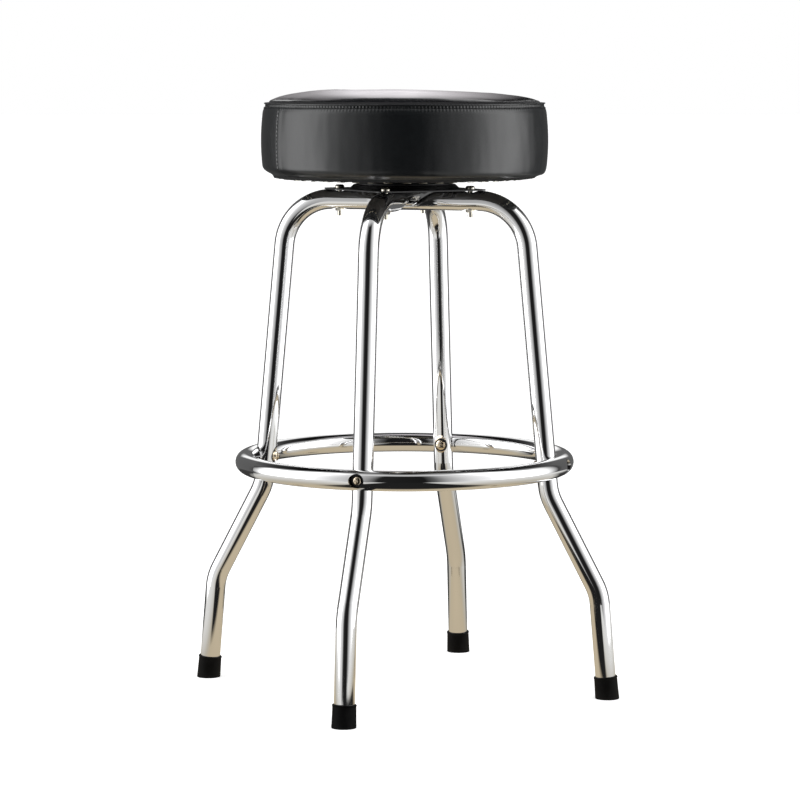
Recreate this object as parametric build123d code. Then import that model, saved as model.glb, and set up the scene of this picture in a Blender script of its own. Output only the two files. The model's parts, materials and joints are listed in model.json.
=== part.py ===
from build123d import *

import math
import os

# Guitar stool: a round padded seat that swivels on two crossed, bent tube frames with a foot ring.
# Millimetres, +Z up. The origin is on the floor, on the swivel axis. The right leg is towards +X,
# the left leg towards -X, the front leg towards -Y and the back leg towards +Y.

# Tube of the leg frames and the foot ring
tube_diameter = 25.4
tube_wall = 1.2
bend_radius = 63.5

# Run of one leg, from its top bend to the floor
upper_leg_height = 366.4
upper_leg_spread = 34.2
flare_height = 122.9
flare_spread = 65.3
lower_leg_height = 132.5
lower_leg_spread = 11.4
bolt_to_bend = 10.6

# Crossing of the two frames, where each is pressed flat to half its height
crossing_gap = 0.3
crossing_flat = 13.0
crossing_reach = 46.0

# Bolts that hold the swivel to the frames
frame_bolt_radius = 85.3
frame_bolt_length = 35.0
frame_bolt_top_dip = 3.0
frame_bolt_bottom_dip = 3.2
frame_bolt_head_diameter = 11.6
frame_bolt_head_height = 4.2
frame_bolt_head_edge_radius = 2.4
frame_bolt_neck_height = 2.0
bolt_diameter = 6.0
bolt_hole_clearance = 0.3
nut_width = 10.0
nut_height = 5.0
nut_flange_diameter = 12.8
nut_flange_height = 1.2
thread_clearance = 0.05

# Foot ring, outside the legs, with a saddle pressed in it at each leg
ring_height = 291.4
saddle_depth = 8.4
saddle_clearance = 0.05
ring_bolt_length = 40.0
ring_bolt_head_diameter = 11.6
ring_bolt_head_height = 3.2
recess_width = 1.5
recess_length = 6.5
recess_depth = 1.6
ring_dimple_depth = 7.2
ring_dimple_floor_radius = 7.6
ring_dimple_mouth_radius = 9.8
leg_dimple_depth = 2.5
dimple_floor_radius = 8.4
dimple_mouth_radius = 11.5

# Rubber caps
cap_diameter = 29.0
cap_foot_diameter = 30.4
cap_height = 28.0
cap_lip_height = 2.6
cap_lip_width = 0.6
cap_floor = 5.0
cap_tread = 1.7
cap_edge_radius = 1.4
cap_clearance = 0.05

# Stamped swivel plates and the ball race between them
swivel_width = 155.0
swivel_corner_radius = 11.2
swivel_thickness = 1.6
dish_foot_radius = 69.9
dish_top_radius = 64.0
dish_rise = 5.6
dish_edge_radius = 1.6
race_gap = 1.6
ball_diameter = 6.35
ball_radius_from_axis = 54.0
ball_clearance = 0.1
ball_count = 12
cage_thickness = 1.0
cage_width = 12.0
cage_hole_clearance = 0.15
rivet_diameter = 22.0
rivet_bore = 18.0
rivet_flange_width = 4.0
rivet_flange_height = 1.2
swivel_clearance = 0.05
rivet_end_play = 0.15

# Screws that hold the seat board to the upper swivel plate
screw_diameter = 4.8
screw_length = 12.0
screw_head_diameter = 9.6
screw_head_height = 2.4
screw_tip_length = 3.0
screw_hole_clearance = 0.3

# Seat: board, foam, covering
board_thickness = 15.0
board_edge_radius = 4.5
board_inset = 15.1
seat_radius = 180.1
side_height = 94.2
seam_inset = 3.9
roll_width = 15.8
roll_height = 13.5
roll_inset = 2.8
widest_height_share = 0.55
crown_height = 17.3
rim_width = 5.4
rim_height = 5.0
rim_edge_radius = 0.9
cover_thickness = 1.0
cover_gap = 0.1
cover_turn_under = 24.0

# Outline of the crown from its middle to the rim, as shares of its own radius and height
crown_radius_shares = (0.0, 0.35, 0.645, 0.82, 0.938, 1.0)
crown_height_shares = (1.0, 0.99, 0.905, 0.69, 0.4, 0.0)

cut_overrun = 20.0

tube_radius = tube_diameter / 2
bolt_radius = bolt_diameter / 2
bolt_hole_radius = bolt_radius + bolt_hole_clearance
frame_z = upper_leg_height + flare_height + lower_leg_height
leg_slope = upper_leg_spread / upper_leg_height
leg_lean = math.degrees(math.atan(leg_slope))
bend_start = frame_bolt_radius + bolt_to_bend
shoulder = bend_start + bend_radius * math.tan(math.radians(90 - leg_lean) / 2)
knee_z = flare_height + lower_leg_height
foot_radius = shoulder + upper_leg_spread + flare_spread + lower_leg_spread
ring_leg_radius = shoulder + (frame_z - ring_height) * leg_slope
ring_radius = ring_leg_radius + tube_diameter - saddle_depth

plate_z = frame_z + tube_radius
dish_z = plate_z + swivel_thickness + dish_rise
race_z = dish_z + race_gap / 2
board_z = race_z + race_gap / 2 + dish_rise + swivel_thickness
seam_radius = seat_radius - seam_inset
seat_bottom = board_z - cover_thickness
seam_z = seat_bottom + side_height
crown_radius = seam_radius - rim_width
rim_bottom = seam_z - rim_height
board_radius = seat_radius - board_inset

UPWARD = (Align.CENTER, Align.CENTER, Align.MIN)
DOWNWARD = (Align.CENTER, Align.CENTER, Align.MAX)
legs = {"right": 0, "back": 90, "left": 180, "front": 270}


def bent_path(corners, radius):
    """Straight runs through the corners, joined by tangent arcs."""
    corners = [Vector(*corner) for corner in corners]
    edges = []
    start = corners[0]
    for before, corner, after in zip(corners, corners[1:], corners[2:]):
        way_in = (corner - before).normalized()
        way_out = (after - corner).normalized()
        setback = radius * math.tan(math.radians(way_in.get_angle(way_out)) / 2)
        arc_start = corner - way_in * setback
        arc_end = corner + way_out * setback
        edges.append(Edge.make_line(start, arc_start))
        edges.append(Edge.make_tangent_arc(arc_start, way_in, arc_end))
        start = arc_end
    edges.append(Edge.make_line(start, corners[-1]))
    return Wire(edges)


def rod_along(path, radius):
    return sweep(Plane(origin=path @ 0, z_dir=path % 0) * Circle(radius), path=path)


def ease(share):
    """Smooth step from 0 to 1."""
    share = min(1, max(0, share))
    return share * share * (3 - 2 * share)


def dimple(depth, grow, floor_radius=dimple_floor_radius, mouth_radius=dimple_mouth_radius):
    """Blunt cone that presses a bolt seat into a tube. Its floor is at the origin, open along +Z."""
    slope = (mouth_radius - floor_radius) / depth
    reach = depth + cut_overrun
    floor = floor_radius + grow
    return Pos(0, 0, -grow) * Cone(floor, floor + slope * reach, reach, align=UPWARD)


def leg_corners():
    """Centreline of one leg in the plane of its frame, from the crossing to inside its cap."""
    knee = shoulder + upper_leg_spread
    kick = knee + flare_spread
    cap_share = cap_floor / lower_leg_height
    return [
        (crossing_reach, 0, frame_z),
        (shoulder, 0, frame_z),
        (knee, 0, knee_z),
        (kick, 0, lower_leg_height),
        (kick + lower_leg_spread * (1 - cap_share), 0, cap_floor),
    ]


def on_ring(radius):
    """Radial seat on the ring bolt's axis of the right leg, looking away from the swivel axis."""
    return Plane(origin=(radius, 0, ring_height), z_dir=(1, 0, 0))


def leg_tube(inset):
    """Solid form of one leg at the tube's skin or inset by the wall, with its bolt seats pressed in."""
    top = Pos(frame_bolt_radius, 0, frame_z + tube_radius - frame_bolt_top_dip)
    bottom = Pos(frame_bolt_radius, 0, frame_z - tube_radius + frame_bolt_bottom_dip)
    inner = on_ring(ring_leg_radius - tube_radius + leg_dimple_depth)
    tube = rod_along(bent_path(leg_corners(), bend_radius), tube_radius - inset)
    tube -= top * dimple(frame_bolt_top_dip, inset)
    tube -= bottom * Rot(180, 0, 0) * dimple(frame_bolt_bottom_dip, inset)
    return tube - inner * Rot(180, 0, 0) * dimple(leg_dimple_depth, inset)


def crossing_section(x, inset, pressed_top):
    """Ellipse of the pressed tube at x, with the girth of the round tube kept."""
    share = ease((abs(x) - crossing_flat) / (crossing_reach - crossing_flat))
    crush = (tube_radius + crossing_gap / 2) * (1 - share)
    half_height = tube_radius - crush / 2
    half_width = math.sqrt(2 * tube_radius**2 - half_height**2)
    centre = frame_z - crush / 2 if pressed_top else frame_z + crush / 2
    place = Plane(origin=(x, 0, centre), x_dir=(0, 1, 0), z_dir=(1, 0, 0))
    if math.isclose(half_width, half_height):
        return place * Circle(tube_radius - inset)
    return place * Ellipse(half_width - inset, half_height - inset)


def crossing(inset, pressed_top):
    """Middle of a frame's top run, pressed flat where the other frame passes."""
    span = crossing_reach - crossing_flat
    half = [0, crossing_flat] + [crossing_flat + span * step / 4 for step in (1, 2, 3, 4)]
    stations = [-x for x in reversed(half[1:])] + half
    return loft([crossing_section(x, inset, pressed_top) for x in stations])


def leg_frame(pressed_top):
    """One bent tube: two legs and the top run between them, in the XZ plane."""
    leg = leg_tube(0) - leg_tube(tube_wall)
    leg -= on_ring(ring_leg_radius) * Cylinder(bolt_hole_radius, 2 * tube_diameter)
    leg -= Pos(frame_bolt_radius, 0, frame_z) * Cylinder(bolt_hole_radius, 2 * tube_diameter)
    middle = crossing(0, pressed_top) - crossing(tube_wall, pressed_top)
    return middle.fuse(leg, leg.mirror(Plane.YZ), glue=True)


def ring_quarter(inset):
    """Solid form of the ring's quarter at the right leg, with its saddle and its screw seat."""
    section = Plane.XZ * Pos(ring_radius, ring_height) * Circle(tube_radius - inset)
    quarter = Rot(0, 0, -45) * revolve(section, Axis.Z, 90)
    leg = Cylinder(tube_radius + saddle_clearance + inset, 2 * tube_diameter)
    quarter -= Pos(ring_leg_radius, 0, ring_height) * Rot(0, -leg_lean, 0) * leg
    seat = on_ring(ring_radius + tube_radius - ring_dimple_depth)
    press = dimple(ring_dimple_depth, inset, ring_dimple_floor_radius, ring_dimple_mouth_radius)
    return quarter - seat * press


def foot_ring():
    quarter = ring_quarter(0) - ring_quarter(tube_wall)
    quarter -= on_ring(ring_radius) * Cylinder(bolt_hole_radius, 2 * tube_diameter)
    quarters = [Rot(0, 0, angle) * quarter for angle in legs.values()]
    return quarters[0].fuse(*quarters[1:], glue=True)


def foot_cap():
    """Rubber cap of the right leg: it follows the leg's lean and is cut flat on the floor."""
    lean = math.degrees(math.atan(lower_leg_spread / lower_leg_height))
    foot = cap_foot_diameter / 2
    neck = cap_diameter / 2
    lip = neck + cap_lip_width
    profile = Polygon(
        (0, -cap_tread),
        (foot, -cap_tread),
        (neck, cap_height - cap_lip_height),
        (lip, cap_height - cap_lip_height / 2),
        (neck, cap_height),
        (0, cap_height),
        align=None,
    )
    profile = fillet([v for v in profile.vertices() if v.X > 0 > v.Y], cap_edge_radius)
    cap = revolve(Plane.XZ * profile, Axis.Z)
    cap -= Pos(0, 0, cap_floor) * Cylinder(tube_radius + cap_clearance, cap_height, align=UPWARD)
    cap = Pos(foot_radius, 0, 0) * Rot(0, -lean, 0) * cap
    return split(cap, bisect_by=Plane.XY, keep=Keep.TOP)


def frame_bolt():
    """Low round-headed bolt with a square neck, head up, its seat at the origin."""
    head = Cylinder(frame_bolt_head_diameter / 2, frame_bolt_head_height, align=UPWARD)
    head = fillet(head.edges().sort_by(Axis.Z)[-1], frame_bolt_head_edge_radius)
    neck = Box(bolt_diameter, bolt_diameter, frame_bolt_neck_height, align=DOWNWARD)
    return head + neck + Cylinder(bolt_radius, frame_bolt_length, align=DOWNWARD)


def nut():
    """Flanged hexagon nut, its flange up, with its seat at the origin."""
    body = extrude(RegularPolygon(nut_width / math.sqrt(3), 6), -nut_height)
    flange = Cylinder(nut_flange_diameter / 2, nut_flange_height, align=DOWNWARD)
    return body + flange - Cylinder(bolt_radius + thread_clearance, nut_height, align=DOWNWARD)


def ring_bolt():
    """Pan-headed machine screw with a cross recess, head along +Z, its seat at the origin."""
    head = Cylinder(ring_bolt_head_diameter / 2, ring_bolt_head_height, align=UPWARD)
    head = fillet(head.edges().sort_by(Axis.Z)[-1], ring_bolt_head_height / 2)
    top = Pos(0, 0, ring_bolt_head_height)
    head -= top * Box(recess_length, recess_width, recess_depth, align=DOWNWARD)
    head -= top * Box(recess_width, recess_length, recess_depth, align=DOWNWARD)
    return head + Cylinder(bolt_radius, ring_bolt_length, align=DOWNWARD)


def dish_profile():
    """Half section of the lower swivel plate's raised dish, from its rivet hole to its foot."""
    hole = rivet_diameter / 2 + swivel_clearance
    foot_z = plate_z + swivel_thickness
    wall_slope = (dish_foot_radius - dish_top_radius) / dish_rise
    foot_out = dish_foot_radius + 2 * swivel_thickness
    under = swivel_thickness / 2
    outline = Polygon(
        (hole, dish_z),
        (dish_top_radius, dish_z),
        (dish_foot_radius, foot_z),
        (foot_out, foot_z),
        (foot_out, plate_z),
        (dish_foot_radius - under * wall_slope, plate_z),
        (dish_top_radius - under * wall_slope, dish_z - swivel_thickness),
        (hole, dish_z - swivel_thickness),
        align=None,
    )
    bends = [v for v in outline.vertices() if hole < v.X < foot_out - dish_edge_radius]
    outline = fillet(bends, dish_edge_radius)
    groove = Pos(ball_radius_from_axis, race_z)
    ball = ball_diameter / 2 + ball_clearance
    below = Pos(ball_radius_from_axis, dish_z) * Rectangle(
        cut_overrun, cut_overrun, align=(Align.CENTER, Align.MAX))
    outline += groove * Circle(ball + swivel_thickness) & below
    return outline - groove * Circle(ball)


def swivel_plate():
    """Lower plate of the swivel: a square with its corners over the legs, and a round raised dish."""
    blank = extrude(Rot(0, 0, 45) * RectangleRounded(swivel_width, swivel_width, swivel_corner_radius),
                    swivel_thickness)
    disc = Cylinder(dish_foot_radius + swivel_thickness, swivel_thickness, align=UPWARD)
    return Pos(0, 0, plate_z) * (blank - disc) + revolve(Plane.XZ * dish_profile(), Axis.Z)


def around(piece, radius):
    """One copy of a piece at each leg, on a circle about the swivel axis."""
    return [Rot(0, 0, angle) * Pos(radius, 0, 0) * piece for angle in legs.values()]


def drilled(plate, hole):
    for copy in around(hole, frame_bolt_radius):
        plate -= copy
    return plate


def lower_plate():
    square = bolt_diameter + 2 * bolt_hole_clearance
    return drilled(swivel_plate(), Pos(0, 0, plate_z) * Box(square, square, cut_overrun))


def upper_plate():
    """The same pressing turned over, with round holes for the screws of the seat board."""
    turned = swivel_plate().mirror(Plane(origin=(0, 0, race_z), z_dir=(0, 0, 1)))
    hole = Cylinder(screw_diameter / 2 + screw_hole_clearance, cut_overrun)
    return drilled(turned, Pos(0, 0, board_z) * hole)


def rivet():
    """Hollow rivet on the swivel axis, flared under the lower dish and over the upper dish."""
    upper_face = dish_z + race_gap + swivel_thickness + rivet_end_play
    lower_face = dish_z - swivel_thickness
    flange = rivet_diameter / 2 + rivet_flange_width
    low = Cylinder(flange, rivet_flange_height, align=DOWNWARD)
    top = Cylinder(flange, rivet_flange_height, align=UPWARD)
    body = Cylinder(rivet_diameter / 2, upper_face - lower_face, align=UPWARD)
    rivet = Pos(0, 0, lower_face) * (low + body) + Pos(0, 0, upper_face) * top
    return rivet - Pos(0, 0, race_z) * Cylinder(rivet_bore / 2, cut_overrun)


def ball_places():
    return [Rot(0, 0, 360 * turn / ball_count) * Pos(ball_radius_from_axis, 0, race_z)
            for turn in range(ball_count)]


def cage():
    """Flat ring that spaces the balls."""
    ring = Cylinder(ball_radius_from_axis + cage_width / 2, cage_thickness)
    ring -= Cylinder(ball_radius_from_axis - cage_width / 2, cage_thickness)
    ring = Pos(0, 0, race_z) * ring
    for place in ball_places():
        ring -= place * Cylinder(ball_diameter / 2 + cage_hole_clearance, cage_thickness)
    return ring


def balls():
    return [place * Sphere(ball_diameter / 2) for place in ball_places()]


def board_screw():
    """Pan-headed wood screw, point up, its head's seat at the origin."""
    head = Cylinder(screw_head_diameter / 2, screw_head_height, align=DOWNWARD)
    head = chamfer(head.edges().sort_by(Axis.Z)[0], screw_head_height / 3)
    shank = Cylinder(screw_diameter / 2, screw_length - screw_tip_length, align=UPWARD)
    tip = Cone(screw_diameter / 2, 0, screw_tip_length, align=UPWARD)
    tip = Pos(0, 0, screw_length - screw_tip_length) * tip
    return head + shank + tip


def side_outline(inset):
    """The seat's side, drawn in by the inset: a roll at the bottom, then a barrel up to the seam."""
    roll_radius = seat_radius - roll_inset
    roll = Edge.make_tangent_arc(
        (roll_radius - roll_width, seat_bottom + inset), (1, 0),
        (roll_radius - inset, seat_bottom + roll_height))
    barrel = ThreePointArc(
        roll @ 1,
        (seat_radius - inset, seat_bottom + side_height * widest_height_share),
        (seam_radius - inset, seam_z - inset))
    return roll, barrel


def cushion_section(inset):
    """Half section of the whole cushion, or of what lies inside its covering at the given inset."""
    roll, barrel = side_outline(inset)
    crown = Spline(
        [(crown_radius * out, seam_z - inset + crown_height * up)
         for out, up in zip(crown_radius_shares, crown_height_shares)],
        tangents=[(1, 0), (rim_width, -2 * rim_height)])
    floor = Line((0, seat_bottom + inset), roll @ 0)
    return make_face([floor, roll, barrel, Line(barrel @ 1, crown @ 1), crown, Line(crown @ 0, floor @ 0)])


def block(inner, outer, bottom, top):
    """Half section of a ring between two radii and two heights."""
    return Pos(inner, bottom) * Rectangle(outer - inner, top - bottom, align=Align.MIN)


def turned(section):
    return revolve(Plane.XZ * section, Axis.Z)


def covering_section():
    """Section of the covering, open under the board inside its turned-under edge."""
    skin = cushion_section(0) - cushion_section(cover_thickness)
    return skin - block(0, board_radius - cover_turn_under, seat_bottom, board_z + board_thickness)


def side_band():
    return turned(covering_section() - block(0, seat_radius, rim_bottom, seam_z + crown_height))


def top_panel():
    return turned(covering_section() & block(0, crown_radius, rim_bottom, seam_z + crown_height))


def seam_rim():
    """Turned seam that stands round the crown, where the top panel meets the side band."""
    section = block(crown_radius, seam_radius, rim_bottom, seam_z)
    return turned(fillet(section.vertices().sort_by(Axis.X)[-2:], rim_edge_radius))


def seat_board():
    board = Pos(0, 0, board_z) * Cylinder(board_radius, board_thickness, align=UPWARD)
    board = fillet(board.edges().filter_by(GeomType.CIRCLE), board_edge_radius)
    pilot = Cylinder(screw_diameter / 2 + thread_clearance, 2 * (screw_length - swivel_thickness))
    return drilled(board, Pos(0, 0, board_z) * pilot)


def seat_foam():
    """Moulded foam on the board and over its edge, inside the covering."""
    section = cushion_section(cover_thickness + cover_gap)
    section -= block(0, board_radius + cover_gap, seat_bottom, board_z + board_thickness)
    section -= block(0, seat_radius, seat_bottom, board_z + board_edge_radius)
    section -= block(crown_radius - cover_gap, seat_radius, rim_bottom - cover_gap, seam_z)
    return turned(section)


def at_frame_bolts(piece, z):
    return [Pos(0, 0, z) * copy for copy in around(piece, frame_bolt_radius)]


def at_ring_bolts(piece, radius):
    placed = on_ring(radius) * piece
    return [Rot(0, 0, angle) * placed for angle in legs.values()]


def fasteners():
    plate_top = plate_z + swivel_thickness
    tube_bottom = frame_z - tube_radius + frame_bolt_bottom_dip
    leg_seat = ring_leg_radius - tube_radius + leg_dimple_depth
    ring_seat = ring_radius + tube_radius - ring_dimple_depth
    return {
        "frame_bolts": at_frame_bolts(frame_bolt(), plate_top),
        "frame_nuts": at_frame_bolts(nut(), tube_bottom),
        "ring_bolts": at_ring_bolts(ring_bolt(), ring_seat),
        "ring_nuts": at_ring_bolts(nut(), leg_seat),
        "board_screws": at_frame_bolts(board_screw(), board_z - swivel_thickness),
    }


def main():
    os.makedirs("parts", exist_ok=True)
    cap = foot_cap()
    nodes = {
        "leg_frame_left_right": [leg_frame(True)],
        "leg_frame_front_back": [Rot(0, 0, 90) * leg_frame(False)],
        "foot_ring": [foot_ring()],
        "swivel_lower_plate": [lower_plate()],
        "swivel_upper_plate": [upper_plate()],
        "swivel_rivet": [rivet()],
        "ball_cage": [cage()],
        "swivel_balls": balls(),
        "seat_board": [seat_board()],
        "seat_foam": [seat_foam()],
        "seat_top_panel": [top_panel()],
        "seat_side_band": [side_band()],
        "seat_seam_rim": [seam_rim()],
    }
    nodes |= {f"foot_cap_{side}": [Rot(0, 0, angle) * cap] for side, angle in legs.items()}
    nodes |= fasteners()
    for name, pieces in nodes.items():
        solids = [solid for piece in pieces for solid in piece.solids()]
        export_step(solids[0] if len(solids) == 1 else Compound(children=solids), f"parts/{name}.step")
    print("height", seam_z + crown_height, "width over the caps", 2 * foot_radius + cap_foot_diameter)


main()
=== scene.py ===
# %% [markdown]
# # A swivel stool with a padded vinyl seat
#
# The frame of this stool is bent from chromed tube, and its seat is a drum of foam in black
# vinyl. The metal comes in at its real size from an engineering model. Here it gets its finish,
# and the seat is upholstered: a top panel, a side band, a turned seam, thread and staples.
# Lengths are in metres, +Z is up and the stool stands on the floor at the origin.

# %% Load the stool's frame
import json
import math

import bpy
from mathutils import Matrix, Vector, noise


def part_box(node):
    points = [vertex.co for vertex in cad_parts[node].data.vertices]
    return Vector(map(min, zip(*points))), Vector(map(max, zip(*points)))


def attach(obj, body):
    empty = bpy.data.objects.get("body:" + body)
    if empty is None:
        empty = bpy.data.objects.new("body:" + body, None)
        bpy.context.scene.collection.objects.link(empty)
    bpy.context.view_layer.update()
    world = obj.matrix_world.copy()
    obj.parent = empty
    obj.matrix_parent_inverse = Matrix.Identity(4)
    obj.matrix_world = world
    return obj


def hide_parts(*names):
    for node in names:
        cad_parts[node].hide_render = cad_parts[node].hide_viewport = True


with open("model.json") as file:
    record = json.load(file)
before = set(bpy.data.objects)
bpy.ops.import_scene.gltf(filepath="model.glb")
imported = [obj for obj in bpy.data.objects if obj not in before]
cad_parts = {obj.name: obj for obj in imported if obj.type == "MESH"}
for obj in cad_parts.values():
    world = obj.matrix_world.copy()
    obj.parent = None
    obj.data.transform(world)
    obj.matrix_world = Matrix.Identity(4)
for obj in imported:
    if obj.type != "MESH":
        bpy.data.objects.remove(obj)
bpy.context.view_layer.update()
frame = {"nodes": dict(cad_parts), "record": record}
nodes = frame["nodes"]
MM = 0.001
print("pieces from the engineering model:", len(nodes))

# %% [markdown]
# ## Where things are
#
# The padded pieces fit what carries them, so their sizes are read from the frame. The rim stands
# at the edge of the top panel, the band hangs from the rim, and its lower edge is turned under
# the plywood board.

# %% Read the seat's sizes from the frame
rim_low, rim_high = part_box("seat_seam_rim")
board_low, board_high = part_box("seat_board")
band_low, band_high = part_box("seat_side_band")
panel_low, panel_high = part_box("seat_top_panel")

rim_radius = rim_high.x
crown_radius = panel_high.x
seam_z = rim_high.z
rim_bottom = rim_low.z
crown_height = panel_high.z - seam_z
board_radius = board_high.x
board_z = board_low.z
seat_radius = band_high.x
seat_bottom = band_low.z
print(f"seat: {2 * seat_radius:.3f} m across, {panel_high.z:.3f} m high")

# %% [markdown]
# ## Modelling by rings
#
# Every round piece of the seat is turned about the swivel axis. A circle is added at the first
# radius and height. Its edge is then extruded again and again, and each new ring is scaled and
# lifted to the next point of the outline. That keeps an even net of squares, which bends and
# wrinkles well. A helper does it, and another one moves points in code, as a sculpting brush would.

# %% Helpers for turning a piece ring by ring


def deselect():
    bpy.ops.object.select_all(action="DESELECT")


def activate(piece):
    deselect()
    piece.select_set(True)
    bpy.context.view_layer.objects.active = piece


def turned(name, outline, sides):
    """A surface turned about Z through the (radius, height) points of the outline."""
    deselect()
    radius, height = outline[0]
    bpy.ops.mesh.primitive_circle_add(vertices=sides, radius=radius, location=(0, 0, height))
    piece = bpy.context.object
    piece.name = piece.data.name = name
    bpy.ops.object.transform_apply(location=True)
    bpy.ops.object.mode_set(mode="EDIT")
    bpy.ops.mesh.select_all(action="SELECT")
    for (radius, height), (after, top) in zip(outline, outline[1:]):
        bpy.ops.mesh.extrude_region_move(TRANSFORM_OT_translate={"value": (0, 0, top - height)})
        scale = after / radius
        bpy.ops.transform.resize(value=(scale, scale, 1), center_override=(0, 0, top))
    bpy.ops.object.mode_set(mode="OBJECT")
    return piece


def close_hole(piece):
    """Closes the last ring of a turned piece with one point in its middle."""
    activate(piece)
    bpy.ops.object.mode_set(mode="EDIT")
    bpy.ops.mesh.extrude_region_move()
    bpy.ops.mesh.merge(type="CENTER")
    bpy.ops.object.mode_set(mode="OBJECT")


def outward(piece):
    activate(piece)
    bpy.ops.object.mode_set(mode="EDIT")
    bpy.ops.mesh.select_all(action="SELECT")
    bpy.ops.mesh.remove_doubles(threshold=0.01 * MM)
    bpy.ops.mesh.normals_make_consistent(inside=False)
    bpy.ops.object.mode_set(mode="OBJECT")


def move_points(piece, rule):
    """Moves each point of a piece to where the rule sends it."""
    for point in piece.data.vertices:
        point.co = rule(point.co.copy())
    piece.data.update()


def finish_with(piece, kind, **settings):
    """Adds a modifier with these settings and applies it."""
    activate(piece)
    modifier = piece.modifiers.new(kind.title(), kind)
    for key, value in settings.items():
        setattr(modifier, key, value)
    bpy.ops.object.modifier_apply(modifier=modifier.name)


def smooth(piece, angle=40):
    activate(piece)
    bpy.ops.object.shade_smooth_by_angle(angle=math.radians(angle))


def ease(share):
    share = min(1, max(0, share))
    return share * share * (3 - 2 * share)


def polar(point):
    return math.hypot(point.x, point.y), math.atan2(point.y, point.x)


def at_polar(radius, angle, height):
    return Vector((radius * math.cos(angle), radius * math.sin(angle), height))


def soft_noise(*place, seed=0.0):
    """Smooth noise from -1 to 1."""
    x, y, z = place
    return noise.noise(Vector((x + seed, y - seed, z)))


# %% [markdown]
# ## The top panel
#
# The top of the seat is a disc of glossy vinyl drawn over a crown of foam. It is tight, but not
# perfect: sewing holds its edge down, so the last centimetres fall away quickly and pucker a
# little. The crown's outline is a curve through a few shares of its radius and height. The panel
# is then inflated with cloth simulation under a small pressure, with its sewn edge pinned.

# %% Turn the top panel
crown_shares = ((1.0, 0.0), (0.985, 0.16), (0.938, 0.4), (0.88, 0.56), (0.82, 0.69), (0.73, 0.82),
                (0.645, 0.905), (0.5, 0.962), (0.35, 0.99), (0.18, 0.998))
vinyl_thickness = 1.0 * MM


def rounded_outline(points, step):
    """Points every step along a smooth curve through the given ones."""
    spots = [Vector((radius, height, 0)) for radius, height in points]
    outline = []
    befores, ends, afters = [spots[0], *spots], spots[1:], [*spots[2:], spots[-1]]
    for before, start, end, after in zip(befores, spots, ends, afters):
        count = max(1, round((end - start).length / step))
        for index in range(count):
            t = index / count
            curve = (start * 2 + (end - before) * t
                     + (before * 2 - start * 5 + end * 4 - after) * t * t
                     + (start * 3 - before - end * 3 + after) * t * t * t) / 2
            outline.append((curve.x, curve.y))
    outline.append((spots[-1].x, spots[-1].y))
    return outline


crown_outline = rounded_outline(
    [(crown_radius * out, seam_z + crown_height * up) for out, up in crown_shares], 4 * MM)
top_panel = turned("seat_top_vinyl", crown_outline, 240)
close_hole(top_panel)
outward(top_panel)
print("top panel:", len(top_panel.data.vertices), "points")

# %% Inflate it a little with its edge pinned
swell = 0.4 * MM
swell_frames = 20
sewn = top_panel.vertex_groups.new(name="sewn edge")
sewn.add([p.index for p in top_panel.data.vertices if polar(p.co)[0] > crown_radius - 3 * MM],
         1.0, "REPLACE")
before = [point.co.copy() for point in top_panel.data.vertices]
activate(top_panel)
cloth = top_panel.modifiers.new("Cloth", "CLOTH")
cloth.settings.quality = 6
cloth.settings.mass = 0.5
cloth.settings.tension_stiffness = 40
cloth.settings.compression_stiffness = 40
cloth.settings.bending_stiffness = 4
cloth.settings.use_pressure = True
cloth.settings.uniform_pressure_force = 4
cloth.settings.effector_weights.gravity = 0
cloth.settings.vertex_group_mass = "sewn edge"
for step in range(1, swell_frames + 1):
    bpy.context.scene.frame_set(step)
bpy.ops.object.modifier_apply(modifier=cloth.name)
for point, start in zip(top_panel.data.vertices, before):
    moved = point.co - start
    if moved.length > swell:
        point.co = start + moved * (swell / moved.length)
bpy.context.scene.frame_set(1)
finish_with(top_panel, "SMOOTH", factor=0.5, iterations=12, vertex_group="sewn edge",
            invert_vertex_group=True)

# %% [markdown]
# ## Puckers and dents in the top
#
# Each stitch pulls the sheet down a little, so short radial puckers start at the sewn edge. A few
# long shallow dents come from the foam below. They are under a millimetre deep, but on a glossy
# sheet they break up the reflections, and that is what tells the eye it is soft. The crown has
# settled a little on its right side, and left of its middle there is one small crease.

# %% Sculpt the top panel's puckers
pucker_depth = 0.5 * MM
pucker_reach = 24 * MM
dent_depth = 0.5 * MM
sag = 3.6 * MM
flattening = 1.6 * MM
view_turn = math.radians(15.98)
crease_place = Vector((-0.088, 0.004))
crease_reach = 34 * MM
crease_depth = 1.1 * MM


def in_view(point):
    """The point's place to the right of the axis and away from the camera."""
    return Vector((point.x * math.cos(view_turn) + point.y * math.sin(view_turn),
                   point.y * math.cos(view_turn) - point.x * math.sin(view_turn)))


def sag_at(point):
    """How far the crown has settled here. It is lower on its right side."""
    radius = polar(point)[0]
    height = max(0, (point.z - seam_z) / crown_height)
    on_right = ease((in_view(point).x + 20 * MM) / (150 * MM))
    inside = ease((crown_radius - radius) / (100 * MM))
    return (sag * on_right + flattening * inside) * height ** 0.7


def pucker(point):
    radius, angle = polar(point)
    near_edge = ease(1 - (crown_radius - radius) / pucker_reach)
    fall = ease((crown_radius - radius) / (4 * MM))
    folds = soft_noise(math.cos(angle) * 9, math.sin(angle) * 9, radius * 12, seed=3.1)
    dents = soft_noise(point.x * 22, point.y * 22, 0.4, seed=7.7)
    place = in_view(point)
    crease = ease(1 - (place - crease_place).length / crease_reach)
    bend = soft_noise(place.x * 60, place.y * 60, 0.9, seed=8.0)
    ripple = 1 - abs(soft_noise(place.x * 75 + 2 * bend, place.y * 110, 0.2, seed=4.0)) * 3
    point.z += fall * (pucker_depth * near_edge * folds + dent_depth * dents
                       + crease_depth * crease * max(0, ripple)) - sag_at(point)
    return point


move_points(top_panel, pucker)
finish_with(top_panel, "SOLIDIFY", thickness=vinyl_thickness, offset=-1)
smooth(top_panel, 60)

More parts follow.
